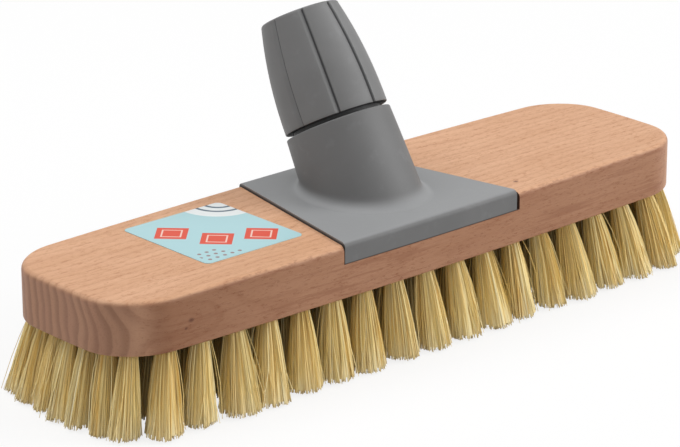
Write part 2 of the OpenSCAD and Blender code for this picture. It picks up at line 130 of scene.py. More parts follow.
class Finish:
    """The finish of one kind of surface, whose nodes are added by expression."""

    def __init__(self, name, **everywhere):
        self.material = bpy.data.materials.new(name)
        self.material.use_nodes = True
        self.tree = self.material.node_tree
        self.surface = self.tree.nodes["Principled BSDF"]
        for socket, value in everywhere.items():
            self.surface.inputs[socket.replace("_", " ")].default_value = value

    def node(self, kind, settings=(), values=(), out=0):
        made = self.tree.nodes.new(kind)
        for name, value in dict(settings).items():
            if name == "stops":
                for place, colour in value[1:-1]:
                    made.color_ramp.elements.new(place).color = colour
                ends = made.color_ramp.elements
                ends[0].position, ends[0].color = value[0]
                ends[len(ends) - 1].position, ends[len(ends) - 1].color = value[-1]
            else:
                setattr(made, name, value)
        pairs = values.items() if isinstance(values, dict) else enumerate(values)
        for key, value in pairs:
            if isinstance(value, Reading):
                self.tree.links.new(value.socket, made.inputs[key])
            else:
                made.inputs[key].default_value = value
        return Reading(self, made.outputs[out])

    def place(self):
        """Where a point of the surface is, in millimetres."""
        metres = self.node("ShaderNodeTexCoord", out="Object")
        return self.node("ShaderNodeVectorMath", {"operation": "SCALE"}, {0: metres, "Scale": 1000.0})

    def split(self, vector):
        parts = self.node("ShaderNodeSeparateXYZ", (), [vector]).socket.node
        return [Reading(self, parts.outputs[i]) for i in range(3)]

    def joined(self, x, y, z):
        return self.node("ShaderNodeCombineXYZ", (), [x, y, z])

    def noise(self, vector, scale, detail=2.0, rough=0.5, out="Fac"):
        values = {"Vector": vector, "Scale": scale, "Detail": detail, "Roughness": rough}
        return self.node("ShaderNodeTexNoise", (), values, out)

    def blend(self, amount, first, second, kind="MIX"):
        settings = {"data_type": "RGBA", "blend_type": kind}
        return self.node("ShaderNodeMix", settings, {0: amount, 6: first, 7: second}, 2)

    def feed(self, **sockets):
        for name, value in sockets.items():
            self.tree.links.new(value.socket, self.surface.inputs[name.replace("_", " ")])

    def relief(self, height, depth):
        """Bumps of the surface: height runs from 0 to 1, and depth is its full swing in metres."""
        values = {"Height": height, "Strength": 1.0, "Distance": depth}
        self.feed(Normal=self.node("ShaderNodeBump", (), values, "Normal"))


FLOOR_SIZE = 6
WHITE = (1, 1, 1, 1)
FLOOR_GREY = (0.62, 0.62, 0.62, 1)
WHITE_SHARE = 0.82
SKY_STRENGTH = 0.18
bpy.ops.object.select_all(action="DESELECT")
bpy.ops.mesh.primitive_plane_add(size=FLOOR_SIZE)
floor = bpy.context.object
floor.name = "floor"
pale = Finish("pale_floor", Roughness=0.9, Specular_IOR_Level=0.1)
floor.data.materials.append(pale.material)
rays = pale.node("ShaderNodeLightPath")
seen = rays
for ray in ("Is Glossy Ray", "Is Transmission Ray"):
    seen = seen.most(Reading(pale, rays.socket.node.outputs[ray]))
pale.feed(Base_Color=pale.blend(seen, FLOOR_GREY, WHITE))
glow = pale.node("ShaderNodeEmission", (), {"Color": WHITE, "Strength": 1.0})
shaded = Reading(pale, pale.surface.outputs[0])
floor_mix = pale.node("ShaderNodeMixShader", (), {0: seen * WHITE_SHARE, 1: shaded, 2: glow})
pale.tree.links.new(floor_mix.socket, pale.tree.nodes["Material Output"].inputs["Surface"])

world = bpy.data.worlds.new("studio")
bpy.context.scene.world = world
world.use_nodes = True
sky = world.node_tree
ambient = sky.nodes["Background"]
ambient.inputs["Color"].default_value = WHITE
ambient.inputs["Strength"].default_value = SKY_STRENGTH
white = sky.nodes.new("ShaderNodeBackground")
white.inputs["Strength"].default_value = 1.0
sight = sky.nodes.new("ShaderNodeLightPath")
choice = sky.nodes.new("ShaderNodeMixShader")
plain_sight = sight.outputs["Is Camera Ray"]
for ray in ("Is Glossy Ray", "Is Transmission Ray"):
    either = sky.nodes.new("ShaderNodeMath")
    either.operation = "MAXIMUM"
    sky.links.new(plain_sight, either.inputs[0])
    sky.links.new(sight.outputs[ray], either.inputs[1])
    plain_sight = either.outputs[0]
sky.links.new(plain_sight, choice.inputs[0])
sky.links.new(ambient.outputs[0], choice.inputs[1])
sky.links.new(white.outputs[0], choice.inputs[2])
sky.links.new(choice.outputs[0], sky.nodes["World Output"].inputs["Surface"])


def lamp(name, azimuth, elevation, distance, size, power):
    """A square soft lamp that shines on the brush from that direction."""
    a, e = math.radians(azimuth), math.radians(elevation)
    away = Vector((math.sin(a) * math.cos(e), -math.cos(a) * math.cos(e), math.sin(e)))
    bpy.ops.object.light_add(type="AREA", location=away * distance)
    made = bpy.context.object
    made.name = name
    made.rotation_euler = away.to_track_quat("Z", "Y").to_euler()
    made.data.size = size
    made.data.energy = power


lamp("main_lamp", 62, 38, 2.6, 1.2, 24)
lamp("front_lamp", 32, 20, 2.6, 1.2, 22)
lamp("top_lamp", -142, 68, 2.0, 1.6, 25)
lamp("side_lamp", -100, 14, 1.9, 0.8, 2.7)


# Beech block
# A plain plank of steamed beech, 300 mm long, with its plan cut on a router: long sides bowed a
# little, ends nearly straight, corners well rounded. The upper edge is eased, a wedge-shaped
# notch takes the holder's plate, and the underside is drilled for the tufts and the screws.
BLOCK = Vector((0.300, 0.081, 0.021))
CORNER = 0.023
SIDE_BOW = 0.0035
END_BOW = 0.0015
TOP_EASE = 0.0023
BOTTOM_EASE = 0.0008
PLATE_PROUD = 0.0013
PLATE_THICK = 0.0083
PLATE_FRONT = 0.091
PLATE_BACK = 0.058
TIGHT_GAP = 0.0003
OPEN_GAP = 0.0015
BLOCK_TOP = FLOOR_TO_BLOCK + BLOCK.z
PLATE_TOP = BLOCK_TOP + PLATE_PROUD
PLATE_UNDER = PLATE_TOP - PLATE_THICK
CUTTER_OVER = 0.004
TUFT_HOLE = 0.0052
TUFT_HOLE_DEPTH = 0.009
TUFT_PITCH = 0.0158
OUTER_ROW = BLOCK.y / 2 - 0.0065
INNER_ROW = OUTER_ROW / 2
END_ROW = BLOCK.x / 2 - 0.008
END_ROW_CURVE = 0.0045
END_PITCH = 0.0087
END_HALF_COUNT = 3
SCREW_ROW = (OUTER_ROW + INNER_ROW) / 2
SCREW_IN_FRONT = 0.013
SCREW_IN_BACK = 0.009
SCREW_HOLE_R = 0.00225
SINK_R = 0.0062
SINK_TIP_R = 0.0022
SINK_DEPTH = 0.004
LEVEL_SLACK = 1e-5


def lone(made, name):
    """Leaves only this object selected and active, under its piece's name."""
    bpy.ops.object.select_all(action="DESELECT")
    made.name = name
    made.data.name = name
    made.select_set(True)
    bpy.context.view_layer.objects.active = made
    return made


def apply_place():
    bpy.ops.object.transform_apply(location=True, rotation=True, scale=True)


def pick(made, kind, test):
    """In edit mode, selects the vertices, edges or faces of made that pass the test."""
    bpy.ops.object.mode_set(mode="EDIT")
    bpy.ops.mesh.select_mode(type={"vertices": "VERT", "edges": "EDGE", "polygons": "FACE"}[kind])
    bpy.ops.mesh.select_all(action="DESELECT")
    bpy.ops.object.mode_set(mode="OBJECT")
    for part in getattr(made.data, kind):
        part.select = test(part)
    bpy.ops.object.mode_set(mode="EDIT")


def edge_ends(made, edge):
    return [made.data.vertices[i].co for i in edge.vertices]


def upright_edge(made, edge, least):
    """Does this edge rise by more than that?"""
    low, high = edge_ends(made, edge)
    return abs(low.z - high.z) > least


def cut_lines(count, step, way):
    """In edit mode, cuts edge lines square to the way, at even steps out from the middle."""
    for k in range(-count, count + 1):
        bpy.ops.mesh.select_all(action="SELECT")
        bpy.ops.mesh.bisect(plane_co=[k * step * part for part in way], plane_no=way)


def with_modifier(made, kind, **settings):
    """Adds a modifier, gives it its settings and applies it."""
    bpy.ops.object.mode_set(mode="OBJECT")
    lone(made, made.name)
    modifier = made.modifiers.new(kind.title(), kind)
    for name, value in settings.items():
        setattr(modifier, name, value)
    bpy.ops.object.modifier_apply(modifier=modifier.name)


def cut(made, cutter, operation="DIFFERENCE"):
    with_modifier(made, "BOOLEAN", object=cutter, operation=operation, solver="EXACT")
    bpy.data.objects.remove(cutter)


def smooth(made, angle=35):
    """Smooth shading that keeps the edges sharper than the angle, and flat faces flat."""
    bpy.ops.object.mode_set(mode="OBJECT")
    lone(made, made.name)
    bpy.ops.object.shade_smooth_by_angle(angle=math.radians(angle))
    with_modifier(made, "WEIGHTED_NORMAL", keep_sharp=True)


def bowed(x, y):
    """A point of the block's plan, drawn in towards the ends and the corners."""
    in_x = 1 - END_BOW / (BLOCK.x / 2) * (y / (BLOCK.y / 2)) ** 2
    in_y = 1 - SIDE_BOW / (BLOCK.y / 2) * (x / (BLOCK.x / 2)) ** 2
    return x * in_x, y * in_y


def shape_plan(made):
    for vertex in made.data.vertices:
        vertex.co.x, vertex.co.y = bowed(vertex.co.x, vertex.co.y)


def plate_half(y):
    """Half the plate's width at y from the middle of the block: it is wider in front."""
    return (PLATE_FRONT + PLATE_BACK) / 4 - (PLATE_FRONT - PLATE_BACK) / 2 / BLOCK.y * y


def wedge(name, low, high, left=0.0, right=0.0, reach=0.0):
    """A prism with the plate's plan, grown on the left, on the right and to front and back."""
    bpy.ops.mesh.primitive_cube_add(size=1)
    made = lone(bpy.context.object, name)
    for vertex in made.data.vertices:
        y = math.copysign(BLOCK.y / 2 + reach, vertex.co.y)
        x = plate_half(y) + right if vertex.co.x > 0 else -plate_half(y) - left
        vertex.co = (x, y, high if vertex.co.z > 0 else low)
    return made


def tuft_places():
    """The tufts' holes, row by row, about the middle of the block."""
    half_count = int((BLOCK.x / 2 - CORNER) / TUFT_PITCH)
    whole = [k * TUFT_PITCH for k in range(-half_count, half_count + 1)]
    between = [(k + 0.5) * TUFT_PITCH for k in range(-half_count, half_count)]
    rows = {
        "front_outer": [bowed(x, -OUTER_ROW) for x in whole],
        "front_inner": [bowed(x, -INNER_ROW) for x in between],
        "middle": [bowed(x, 0) for x in whole],
        "back_inner": [bowed(x, INNER_ROW) for x in between],
        "back_outer": [bowed(x, OUTER_ROW) for x in whole],
    }
    for name, side in (("left_end", -1), ("right_end", 1)):
        rows[name] = [
            (side * (END_ROW - END_ROW_CURVE * (k / END_HALF_COUNT) ** 2), k * END_PITCH)
            for k in range(-END_HALF_COUNT, END_HALF_COUNT + 1)
        ]
    return rows


def rim(made, z):
    """The edges round the flat face at that height, each as its two vertices."""
    faces_on = {}
    for face in made.data.polygons:
        if abs(face.normal.z) > 0.9 and abs(face.center.z - z) < LEVEL_SLACK:
            for key in face.edge_keys:
                faces_on[key] = faces_on.get(key, 0) + 1
    return {key for key, count in faces_on.items() if count == 1}


bpy.ops.mesh.primitive_cube_add(size=1, location=(0, 0, FLOOR_TO_BLOCK + BLOCK.z / 2))
block = lone(bpy.context.object, "beech_block")
block.scale = BLOCK
apply_place()
pick(block, "edges", lambda edge: upright_edge(block, edge, BLOCK.z / 2))
bpy.ops.mesh.bevel(offset=CORNER, segments=24, affect="EDGES")
cut_lines(9, 0.0135, (1, 0, 0))
cut_lines(2, 0.0068, (0, 1, 0))
bpy.ops.object.mode_set(mode="OBJECT")
shape_plan(block)
for height, ease in ((BLOCK_TOP, TOP_EASE), (FLOOR_TO_BLOCK, BOTTOM_EASE)):
    outline = rim(block, height)
    pick(block, "edges", lambda edge: tuple(sorted(edge.vertices)) in outline)
    bpy.ops.mesh.bevel(offset=ease, segments=5, affect="EDGES")
    bpy.ops.object.mode_set(mode="OBJECT")

cut(block, wedge("notch", PLATE_UNDER, BLOCK_TOP + CUTTER_OVER, TIGHT_GAP, OPEN_GAP, CUTTER_OVER))
holes = []


def bore_hole(add_cutter, x, y, **sizes):
    """Stands a round cutter in the block's underside, to be taken out with the others."""
    add_cutter(location=(x, y, FLOOR_TO_BLOCK), **sizes)
    holes.append(bpy.context.object)


rod, cone = bpy.ops.mesh.primitive_cylinder_add, bpy.ops.mesh.primitive_cone_add
for row in tuft_places().values():
    for x, y in row:
        bore_hole(rod, x, y, vertices=20, radius=TUFT_HOLE / 2, depth=2 * TUFT_HOLE_DEPTH)
for side in (-1, 1):
    for x, y in (
        (PLATE_FRONT / 2 - SCREW_IN_FRONT, -SCREW_ROW), (PLATE_BACK / 2 - SCREW_IN_BACK, SCREW_ROW),
    ):
        bore_hole(rod, side * x, y, vertices=24, radius=SCREW_HOLE_R, depth=2 * BLOCK.z)
        bore_hole(cone, side * x, y, vertices=32, radius1=SINK_R, radius2=SINK_TIP_R, depth=SINK_DEPTH)
drill = lone(holes[0], "drill")
for hole in holes:
    hole.select_set(True)
bpy.ops.object.join()
with_modifier(block, "BOOLEAN", object=drill, operation="DIFFERENCE", solver="EXACT", use_self=True)
bpy.data.objects.remove(drill)
block.location = (0, AXIS_Y, 0)
lone(block, "beech_block")
apply_place()
smooth(block, 30)
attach(block, "brush_head")
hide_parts("wood_block")

beech = Finish("beech", Roughness=0.5, Specular_IOR_Level=0.3)
along, across, up = beech.split(beech.place())
across = across - 1000 * AXIS_Y
level = up - 1000 * FLOOR_TO_BLOCK
to_end, to_side = abs(along), abs(across)
half_length, half_width, top = 500 * BLOCK.x, 500 * BLOCK.y, 1000 * BLOCK.z
notch_floor = 1000 * (PLATE_UNDER - FLOOR_TO_BLOCK)


def figure(lengthwise, crosswise, upright, detail=2.0, rough=0.5):
    """Noise drawn out along the plank, by how often it changes in a millimetre each way."""
    stretched = beech.joined(along * lengthwise, across * crosswise, level * upright)
    return beech.noise(stretched, 1.0, detail, rough)


# The plank was sawn beside the heart, which lies far behind it, so its rings stand nearly
# upright: lines along the top, bands across the ends, and ovals where they touch the front
HEART_BEHIND = 70
HEART_LEVEL = 4
RING_STEP = 4.3
BAND_STEP = 13.0
SWELL_ALONG = -121
SWELL_LEVEL = 11
SWELL_DEEP = 7
to_heart = across - HEART_BEHIND
over_heart = level - HEART_LEVEL
ring_radius = (to_heart * to_heart + over_heart * over_heart * 1.5) ** 0.5 + figure(0.009, 0.02, 0.03) * 20
swell_x, swell_z = (along - SWELL_ALONG) / 17, (level - SWELL_LEVEL) / 6.5
swell = math.e ** (-(swell_x * swell_x + swell_z * swell_z))
ring_radius = ring_radius - swell * SWELL_DEEP * across.ease(-20, -38)
ring = (ring_radius / RING_STEP).part()
late_wood = ring.ease(0.45, 0.84) * (1 - ring.ease(0.86, 0.99))
wide_band = (ring_radius / BAND_STEP).part()
wide_band = wide_band.ease(0.1, 0.6) * (1 - wide_band.ease(0.7, 1.0))
# Short dark pores, drawn out along the plank, and the finer silk of the rays
pores = figure(0.30, 1.35, 1.35, 3.0, 0.7)
dashes = pores.ease(0.545, 0.66)
silk = figure(0.45, 3.2, 3.2, 2.0, 0.6)
streaks = figure(0.035, 0.5, 0.42, 3.0, 0.6)
cloud = figure(0.02, 0.06, 0.06)
broken = 0.35 + pores.ease(0.35, 0.65) * 0.65
colour = beech.blend(cloud.ease(0.35, 0.68), paint(226, 178, 142), paint(219, 170, 133))
colour = beech.blend(streaks.ease(0.5, 0.72) * 0.24, colour, paint(196, 141, 106))
colour = beech.blend(wide_band * 0.14, colour, paint(200, 146, 110))
colour = beech.blend(late_wood * broken * 0.42, colour, paint(190, 134, 98))
colour = beech.blend(dashes * 0.38, colour, paint(176, 116, 82))
colour = beech.blend(silk.ease(0.42, 0.72) * 0.30, colour, paint(196, 142, 107))
# The sawn sides are browner than the planed top, and painted darker as shade, most of all towards the left
SIDE_TINT_AND_SHADE = (0.50, 0.40, 0.36, 1)
side_grain = to_side.ease(half_width - 7.5, half_width - 3) * (1 - level.ease(top - 1.6, top - 0.4))
# Browner side grain, and painted shade on the sides
colour = beech.blend(side_grain * 0.75, colour, beech.blend(1.0, colour, SIDE_TINT_AND_SHADE, "MULTIPLY"))
side_streak = figure(0.022, 0.2, 0.34, 3.0, 0.65)
colour = beech.blend(side_grain * side_streak.ease(0.48, 0.66) * 0.5, colour, paint(146, 94, 66))
# Painted shade: the sides darker still towards the left end
colour = beech.blend(side_grain * (-along).ease(50, 140) * 0.42, colour, paint(120, 74, 44))
# The ends show the rings cut square across
end_grain = to_end.ease(half_length - 22, half_length - 4) * (1 - level.ease(top - 1.6, top - 0.3))
end_late = ring.ease(0.2, 0.72) * (1 - ring.ease(0.84, 0.99))
end_colour = beech.blend(end_late * 0.6, paint(182, 136, 108), paint(132, 90, 68))
end_colour = beech.blend(wide_band * 0.3, end_colour, paint(166, 120, 99))
end_colour = beech.blend(silk.ease(0.4, 0.7) * 0.3, end_colour, paint(168, 122, 100))
colour = beech.blend(end_grain * 0.9, colour, end_colour)
# Where the router turned along the upper edge the wood is burnished darker, in short patches
edge_band = level.ease(top - 2.6, top - 1.6) * (1 - level.ease(top - 0.4, top - 0.05))
edge_band = edge_band * (1 - to_end.ease(92, 118))
burnish = figure(0.24, 0.5, 0.8, 4.0, 0.7)
colour = beech.blend(edge_band * burnish.ease(0.46, 0.66) * 0.5, colour, paint(150, 96, 66))
# Little light gets into the gaps beside the plate and under it
beside = to_end - 1000 * plate_half(across / 1000)
gap = 1000 * TIGHT_GAP + 0.1 + (along > 0) * (1000 * (OPEN_GAP - TIGHT_GAP))
over_notch = level.ease(notch_floor - 0.4, notch_floor - 0.1)
gap_wall = beside.ease(-0.5, 0.1) * (1 - beside.ease(gap - 0.1, gap + 0.1)) * over_notch
under_plate = over_notch * (1 - level.ease(notch_floor + 0.1, notch_floor + 0.3))
under_plate = under_plate * (1 - beside.ease(0.1, 0.6))
colour = beech.blend(gap_wall.most(under_plate) * 0.85, colour, paint(52, 30, 22))
# Pin knots: where each one is, along, across and up, and its size
for (knot_x, knot_y, knot_z), size in (
    ((54.9, -29.9, 21), 0.45),
    ((-118.6, -38.3, 10.3), 0.5),
    ((-121.0, -38.2, 7.6), 0.28),
    ((-30, 40, 9), 0.5),
):
    off_x, off_y, off_z = (along - knot_x) * 0.7, across - knot_y, level - knot_z
    reach = (off_x * off_x + off_y * off_y + off_z * off_z) ** 0.5
    colour = beech.blend((1 - reach.ease(size * 0.4, size * 2.6)) * 0.8, colour, paint(98, 56, 40))
beech.feed(Base_Color=colour)
beech.feed(Roughness=(0.47 + dashes * 0.16 + silk * 0.1))
beech.relief(silk * 0.4 - dashes * 0.6 - late_wood * 0.1, 0.00010)
block.data.materials.append(beech.material)


# Label
# A square of coated paper with round corners, stuck on the left half of the block's top. Its
# print is a plain pattern: stepped diamonds, a quarter disc and three rows of dots on pale blue.
LABEL_X = -0.072
LABEL_Y = 0.005
LABEL_LONG = 0.0475
LABEL_WIDE = 0.0505
LABEL_THICK = 0.0002
LABEL_CORNER = 0.0024
bpy.ops.mesh.primitive_cube_add(size=1, location=(LABEL_X, LABEL_Y + AXIS_Y, BLOCK_TOP + LABEL_THICK / 2))
label = lone(bpy.context.object, "paper_label")
label.scale = (LABEL_LONG, LABEL_WIDE, LABEL_THICK)
apply_place()
pick(label, "edges", lambda edge: upright_edge(label, edge, LABEL_THICK / 2))
bpy.ops.mesh.bevel(offset=LABEL_CORNER, segments=8, affect="EDGES")
bpy.ops.object.mode_set(mode="OBJECT")
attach(label, "brush_head")
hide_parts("label")
print_finish = Finish("label_print", Roughness=0.4, Specular_IOR_Level=0.35)
x, y = print_finish.split(print_finish.place())[:2]
u, v = x - 1000 * LABEL_X, y - 1000 * (LABEL_Y + AXIS_Y)
PRINT_EDGE = 0.12
DISC_R = 17
ARCS = (6.5, 11.0)
ARC_WIDE = 0.7
DIAMONDS = ((-12.5, 9.5), (-3.5, -6.5), (12.5, -13.5))
DIAMOND_HALF = 8.6
INNER_DIAMOND = 5.2
LINE_WIDE = 0.45
DOT_R = 0.8
DOT_STEP = 3.6
LINE_STEP = 3.4
LEFT_DOT, RIGHT_DOT, LOW_DOTS = -21.5, -4.1, -22.0


def inside(measure, limit):
    """1 where the measure is under the limit, with a softly printed edge."""
    return 1 - measure.ease(limit - PRINT_EDGE, limit + PRINT_EDGE)


fibres = print_finish.noise(print_finish.joined(x, y, 0.0), 1.3, 3.0)
ink = print_finish.blend(fibres * 0.3, paint(178, 216, 221), paint(168, 207, 213))
corner_x, corner_y = u - 500 * LABEL_LONG, v - 500 * LABEL_WIDE
corner_reach = (corner_x * corner_x + corner_y * corner_y) ** 0.5
ink = print_finish.blend(inside(corner_reach, DISC_R), ink, paint(236, 240, 240))
for radius in ARCS:
    ink = print_finish.blend(inside(abs(corner_reach - radius), ARC_WIDE), ink, paint(70, 96, 112))
for middle_u, middle_v in DIAMONDS:
    diamond = abs(u - middle_u) + abs(v - middle_v)
    ink = print_finish.blend(inside(diamond, DIAMOND_HALF), ink, paint(222, 74, 46))
    ink = print_finish.blend(inside(abs(diamond - INNER_DIAMOND), LINE_WIDE), ink, paint(244, 206, 194))
for line in range(3):
    dot_u = ((u + 1.6 * line) / DOT_STEP).part() * DOT_STEP - DOT_STEP / 2
    dot_v = v - LOW_DOTS - LINE_STEP * line
    dot = (dot_u * dot_u + dot_v * dot_v) ** 0.5
    last = RIGHT_DOT - DOT_STEP * line
    row = u.ease(LEFT_DOT - 0.1, LEFT_DOT + 0.1) * (1 - u.ease(last - 0.1, last + 0.1))
    ink = print_finish.blend(inside(dot, DOT_R) * row, ink, paint(150, 128, 128))
print_finish.feed(Base_Color=ink)
print_finish.relief(fibres, 0.00002)
label.data.materials.append(print_finish.material)


# Holder
# One moulding of grey plastic: a wedge-shaped plate that lies in the block's notch, and a round
# socket that leans back from it, with a hollow curve round its foot and a plain land on top.
LEAN = math.radians(30)
SOCKET_R = 0.0227
RIM_R = 0.0214
RIM_AT = 0.0283
LAND_R = 0.0179
LAND_TOP = 0.0313
LAND_EDGE = 0.0003
BORE_R = 0.0122
BORE_MIDDLE = 0.02
BORE_FLOOR = 0.0
FILLET = 0.004
FILLET_STEPS = 13
FOOT_SKIRT = 0.0006
FOOT_SUNK = 0.002
FOOT_DIP = 0.00004
ROUND = 0.0005
TUBE_STEPS = 6
PLATE_ROUND = 0.0021
NUT_LOW = 0.030
AROUND = 128
axis_foot = Vector((0, AXIS_Y, PLATE_TOP))
axis_way = Vector((0, math.sin(LEAN), math.cos(LEAN)))
axis_side = Vector((1, 0, 0))
axis_back = axis_way.cross(axis_side)


def plate_outline_y(x):
    return BLOCK.y / 2 - SIDE_BOW * (x / (BLOCK.x / 2)) ** 2


plate = wedge("plate", PLATE_UNDER, PLATE_TOP)
bpy.ops.object.mode_set(mode="EDIT")
cut_lines(5, 0.008, (1, 0, 0))
bpy.ops.object.mode_set(mode="OBJECT")
for vertex in plate.data.vertices:
    if abs(vertex.co.y) > BLOCK.y / 2 - LEVEL_SLACK:
        vertex.co.y = math.copysign(plate_outline_y(vertex.co.x), vertex.co.y)


def long_edge(edge):
    """Is this edge part of the plate's upper front or back edge?"""
    ends = edge_ends(plate, edge)
    same_side = ends[0].y * ends[1].y > 0
    on_top = all(abs(end.z - PLATE_TOP) < LEVEL_SLACK for end in ends)
    outside = all(abs(end.y) > BLOCK.y / 2 - 0.001 for end in ends)
    return same_side and on_top and outside


pick(plate, "edges", long_edge)
bpy.ops.mesh.bevel(offset=PLATE_ROUND, segments=8, affect="EDGES")
bpy.ops.object.mode_set(mode="OBJECT")
plate.location = (0, AXIS_Y, 0)
apply_place()


def on_axis(s, radius, a):
    """The point at a distance along the leaning axis, a radius from it and an angle round it."""
    return axis_foot + axis_way * s + radius * (math.cos(a) * axis_side + math.sin(a) * axis_back)


def foot_ring(height, grow):
    """Level slice of the leaning tube, grown outwards by the fillet."""
    return [
        Vector((
            (SOCKET_R + grow) * math.cos(a),
            AXIS_Y + (SOCKET_R / math.cos(LEAN) + grow) * math.sin(a) + height * math.tan(LEAN),
            PLATE_TOP + height,
        ))
        for a in (2 * math.pi * i / AROUND for i in range(AROUND))
    ]


def tube_ring(s, radius):
    """Ring square to the leaning axis, at a distance along it."""
    return [on_axis(s, radius, 2 * math.pi * i / AROUND) for i in range(AROUND)]


def through_rings(name, rings):
    """Starts from a circle at the first ring and extrudes it through the others, then seals it."""
    sides = len(rings[0])
    bpy.ops.mesh.primitive_circle_add(vertices=sides, radius=1)
    made = lone(bpy.context.object, name)
    for vertex, place in zip(made.data.vertices, rings[0]):
        vertex.co = place
    bpy.ops.object.mode_set(mode="EDIT")
    bpy.ops.mesh.select_all(action="SELECT")
    for ring in rings[1:]:
        bpy.ops.mesh.extrude_region_move()
        bpy.ops.object.mode_set(mode="OBJECT")
        places = [vertex.co for vertex in made.data.vertices][:-sides] + list(ring)
        made.data.vertices.foreach_set("co", np.array(places, dtype=np.float32).ravel())
        bpy.ops.object.mode_set(mode="EDIT")
    bpy.ops.object.mode_set(mode="OBJECT")
    seal(made)
    return made


def seal(made):
    """Merges what meets, closes what is open with a face, and turns all faces outwards."""
    bpy.ops.object.mode_set(mode="EDIT")
    bpy.ops.mesh.select_all(action="SELECT")
    bpy.ops.mesh.remove_doubles(threshold=1e-6)
    bpy.ops.mesh.select_mode(type="EDGE")
    bpy.ops.mesh.select_all(action="DESELECT")
    bpy.ops.mesh.select_non_manifold()
    bpy.ops.mesh.edge_face_add()
    bpy.ops.mesh.select_all(action="SELECT")
    bpy.ops.mesh.normals_make_consistent(inside=False)
    bpy.ops.object.mode_set(mode="OBJECT")


def drawn_in(ring):
    """The ring as it is where the tube narrows evenly from its foot to its rim."""
    narrowed = []
    for place in ring:
        s = (place - axis_foot).dot(axis_way)
        middle = axis_foot + axis_way * s
        share = 1 - max(0, s) * (SOCKET_R - RIM_R) / RIM_AT / SOCKET_R
        narrowed.append(middle + (place - middle) * share)
    return narrowed


rings = [foot_ring(-FOOT_SUNK, FILLET + FOOT_SKIRT), foot_ring(-FOOT_DIP, FILLET + FOOT_SKIRT)]
for k in range(1, FILLET_STEPS + 1):
    a = math.radians(90 * k / FILLET_STEPS)
    rings.append(drawn_in(foot_ring(FILLET * (1 - math.cos(a)), FILLET * (1 - math.sin(a)))))
over_fillet = SOCKET_R * math.tan(LEAN) + 0.0005 + FILLET / math.cos(LEAN)
for k in range(TUBE_STEPS + 1):
    rings.append(drawn_in(tube_ring(over_fillet + (RIM_AT - ROUND - over_fillet) * k / TUBE_STEPS, SOCKET_R)))
for a in (30, 60, 90):
    edge = ROUND * (1 - math.cos(math.radians(a)))
    rings.append(tube_ring(RIM_AT - ROUND * (1 - math.sin(math.radians(a))), RIM_R - edge))
for s, radius in (
    (RIM_AT, LAND_R + LAND_EDGE),
    (RIM_AT + LAND_EDGE, LAND_R),
    (LAND_TOP - LAND_EDGE, LAND_R),
    (LAND_TOP, LAND_R - LAND_EDGE),
    (LAND_TOP, BORE_R),
    (BORE_MIDDLE, BORE_R),
    (BORE_FLOOR, BORE_R),
):
    rings.append(tube_ring(s, radius))
holder = through_rings("holder", rings)
cut(holder, plate, "UNION")
smooth(holder, 32)
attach(holder, "brush_head")
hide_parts("holder_plate", "handle_socket")


class GreyPlastic(Finish):
    """Moulded grey plastic: a fine matt grain, faint clouding and slight rubbed patches."""

    def __init__(self, name, light, dark):
        super().__init__(name, Specular_IOR_Level=0.5)
        spot = self.place()
        self.clouding = self.noise(spot, 0.035, 3.0)
        self.rubbed = self.noise(spot, 0.16, 3.0, 0.6)
        self.grain = self.noise(spot, 5.5, 2.0)
        self.shade = self.blend(self.clouding.ease(0.3, 0.7), light, dark)
        self.mark(self.rubbed.ease(0.56, 0.8) * 0.09, paint(160, 162, 164))
        self.x, y, z = self.split(spot)
        self.y = y - 1000 * AXIS_Y
        self.over = z - 1000 * PLATE_TOP
        self.ahead = self.y * math.sin(LEAN) + self.over * math.cos(LEAN)
        self.behind = self.y * math.cos(LEAN) - self.over * math.sin(LEAN)
        self.from_axis = (self.x * self.x + self.behind * self.behind) ** 0.5

    def mark(self, amount, colour):
        self.shade = self.blend(amount, self.shade, colour)

    def paint_recess_shade(self, low, high):
        """Painted shade in the narrow recess under the nut, between two distances along the axis."""
        low, high = 1000 * low, 1000 * high
        within = self.ahead.ease(low - 0.2, low - 0.05) * (1 - self.ahead.ease(high + 0.05, high + 0.2))
        self.mark(within * (1 - self.from_axis.ease(20.4, 20.8)) * 0.76, paint(18, 18, 20))

    def moulded(self, rough):
        """Feeds the surface, and gives the material."""
        self.feed(Base_Color=self.shade)
        self.feed(Roughness=(rough + self.clouding * 0.08 - self.rubbed.ease(0.5, 0.8) * 0.05))
        self.relief(self.grain, 0.00003)
        return self.material


# The flat top of the plate is painted paler as painted light, and its flanks and lower edge, which lie in the
# wood's gap, are painted with shade
holder_grey = GreyPlastic("holder_grey", paint(111, 111, 111), paint(105, 105, 105))
over = holder_grey.over
flank = (abs(holder_grey.x) - 1000 * plate_half(holder_grey.y / 1000)).ease(-0.16, -0.02)
low_edge = 1 - over.ease(-1000 * PLATE_THICK + 0.08, -1000 * PLATE_THICK + 0.4)
# Painted light on the flat top of the plate
holder_grey.mark(over.ease(-0.8, 0.0) * (1 - over.ease(0.3, 5.5)), paint(147, 148, 149))
# Painted shade on the flanks and the lower edge
holder_grey.mark(flank * (1 - over.ease(-1.2, -0.1)) * 0.85, paint(34, 32, 32))
holder_grey.mark(low_edge * 0.75, paint(40, 36, 34))
# Painted shade in the recess under the nut
holder_grey.paint_recess_shade(RIM_AT, LAND_TOP)
holder.data.materials.append(holder_grey.moulded(0.52))


# Neck
# The thread that the nut runs on, and the nose that the clamp ring rests on. It is part of the
# same moulding and shows when the nut is screwed up.
THREAD_R = 0.0166
THREAD_SWING = 0.0007
PITCH = 0.005
NECK_TOP = 0.056
NOSE_TOP = 0.0573
NOSE_R = 0.0156
THREAD_STEPS = 12


def thread_ring(s):
    """Ring of a round thread: its crest turns once for each pitch along the axis."""
    ring = []
    for a in (2 * math.pi * i / AROUND for i in range(AROUND)):
        ring.append(on_axis(s, THREAD_R + THREAD_SWING * math.cos(2 * math.pi * s / PITCH - a), a))
    return ring


